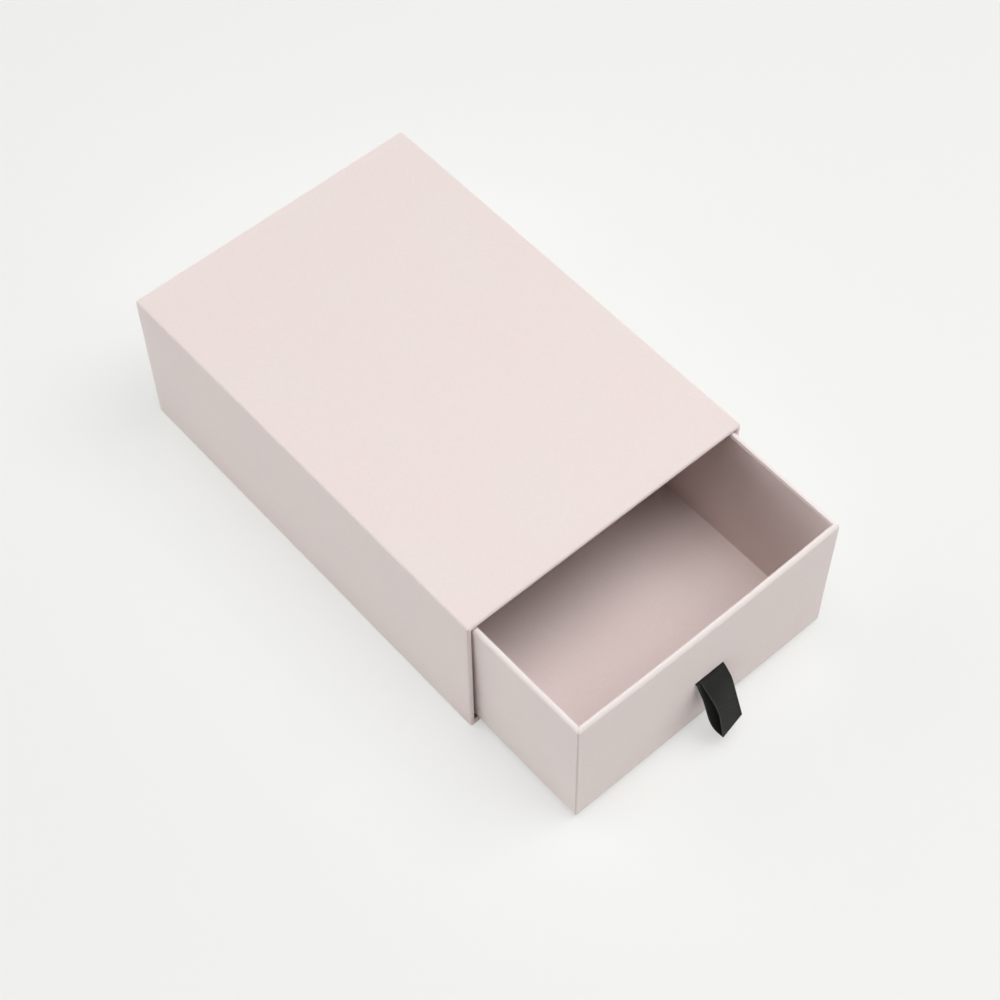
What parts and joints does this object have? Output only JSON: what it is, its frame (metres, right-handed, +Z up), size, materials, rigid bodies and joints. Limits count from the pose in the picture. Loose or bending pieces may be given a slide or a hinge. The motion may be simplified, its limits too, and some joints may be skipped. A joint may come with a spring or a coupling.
{
  "type": "sliding drawer gift box",
  "caption": "Wrapped greyboard slide box: a sleeve closed at the back, an open-topped tray drawer that slides out of its mouth, and a folded ribbon loop pull in the drawer front.",
  "frame": {"origin": "middle of the sleeve's underside, on the surface it stands on", "axes": "+Z up, -Y out of the sleeve's mouth towards the drawer front, +X to the right of someone facing that front"},
  "size_m": [0.12, 0.2387, 0.064],
  "materials": {
    "greyboard": "matt grey chipboard",
    "cover_paper": "matt, pale blush pink",
    "lining_paper": "matt, pale blush pink",
    "stay_tape": "gummed kraft tape",
    "ribbon": "black woven ribbon, dull satin"
  },
  "bodies": {
    "sleeve": {"sleeve_top_board": "greyboard", "sleeve_bottom_board": "greyboard", "sleeve_left_board": "greyboard", "sleeve_right_board": "greyboard", "sleeve_back_board": "greyboard", "sleeve_wrap": "cover_paper", "sleeve_back_sheet": "cover_paper", "sleeve_base_sheet": "cover_paper", "sleeve_lining": "lining_paper"},
    "drawer": {"drawer_base_board": "greyboard", "drawer_front_board": "greyboard", "drawer_back_board": "greyboard", "drawer_left_board": "greyboard", "drawer_right_board": "greyboard", "drawer_corner_stay_1": "stay_tape", "drawer_corner_stay_2": "stay_tape", "drawer_corner_stay_3": "stay_tape", "drawer_corner_stay_4": "stay_tape", "drawer_wrap": "cover_paper", "drawer_base_sheet": "cover_paper", "drawer_lining": "lining_paper", "ribbon_tails": "ribbon", "ribbon_patch": "lining_paper"},
    "ribbon": {"ribbon_loop": "ribbon"}
  },
  "joints": [
    {"name": "drawer_slide", "type": "slide", "parent": "sleeve", "child": "drawer", "axis": [0, -1, 0], "range_m": [-0.0484, 0.1256]},
    {"name": "ribbon_swing", "type": "hinge", "parent": "drawer", "child": "ribbon", "pos_m": [0.001, -0.13715, 0.02984], "axis": [-1, 0, 0], "range_deg": [-22, 110]}
  ]
}
